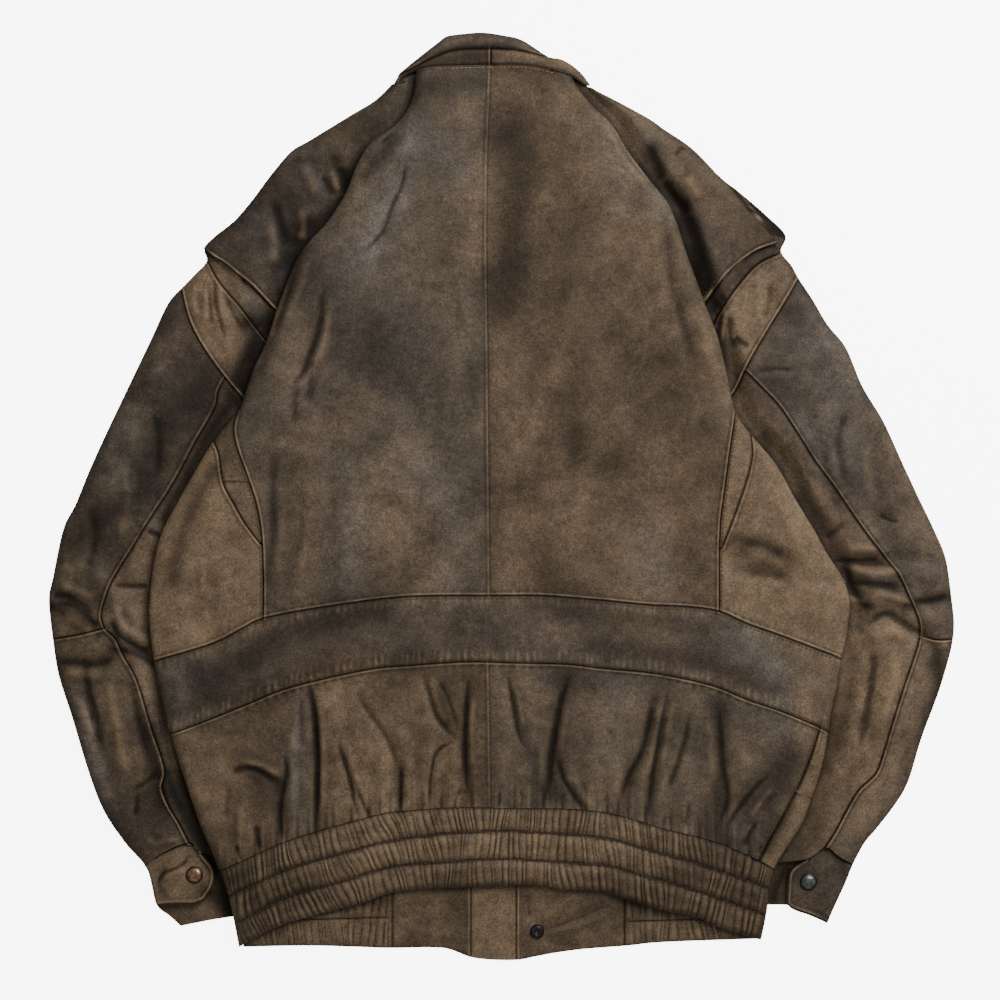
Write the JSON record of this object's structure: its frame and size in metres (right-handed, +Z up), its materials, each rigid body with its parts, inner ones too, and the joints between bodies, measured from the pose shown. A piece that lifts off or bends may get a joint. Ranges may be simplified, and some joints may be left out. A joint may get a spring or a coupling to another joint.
{
  "type": "worn leather blouson jacket",
  "caption": "Worn brown leather blouson laid face down, arms beside the body, with a gathered elastic hem, banded waist, shoulder caps and snapped cuffs.",
  "frame": {"origin": "centre of the footprint's box on the surface that the jacket lies on", "axes": "+Z up from the surface, +Y towards the collar, +X to the right of the jacket as it lies face down"},
  "size_m": [0.7789, 0.7984, 0.0185],
  "materials": {
    "brown_leather": "worn semi-matt hide, mottled",
    "grey_leather": "worn hide with a grey sheen",
    "tan_leather": "rubbed, lighter hide",
    "dark_leather": "dark hide, little worn",
    "copper_snap": "aged copper, domed",
    "patina_snap": "green-blue patina on copper, domed",
    "dark_snap": "blackened metal stud"
  },
  "bodies": {
    "root": {"back_left": "grey_leather", "back_right": "brown_leather", "cap_tab_right": "dark_leather", "collar_fall": "grey_leather", "collar_front": "brown_leather", "collar_stand_left": "brown_leather", "collar_stand_right": "tan_leather", "cuff_left": "tan_leather", "cuff_right": "dark_leather", "cuff_snap_left": "copper_snap", "cuff_snap_right": "patina_snap", "cuff_under_left": "brown_leather", "cuff_under_right": "brown_leather", "forearm_outer_left": "dark_leather", "forearm_outer_right": "grey_leather", "front_hem_left": "brown_leather", "front_hem_right": "brown_leather", "front_left": "brown_leather", "front_right": "brown_leather", "front_tab_left": "brown_leather", "front_tab_right": "brown_leather", "front_yoke_left": "brown_leather", "front_yoke_right": "brown_leather", "gusset_left": "brown_leather", "gusset_right": "tan_leather", "hem_back": "brown_leather", "hem_snap": "dark_snap", "lower_back_left": "brown_leather", "lower_back_right": "grey_leather", "placket": "tan_leather", "shoulder_cap_left": "dark_leather", "shoulder_cap_right": "brown_leather", "side_back_left": "tan_leather", "side_back_right": "tan_leather", "side_strip_right": "tan_leather", "sleeve_band_left": "tan_leather", "sleeve_band_right": "tan_leather", "sleeve_head_left": "brown_leather", "sleeve_head_right": "brown_leather", "sleeve_inner_left": "brown_leather", "sleeve_inner_right": "brown_leather", "sleeve_outer_left": "dark_leather", "sleeve_outer_right": "grey_leather", "under_sleeve_left": "brown_leather", "under_sleeve_right": "brown_leather", "waist_band": "grey_leather"}
  },
  "joints": []
}
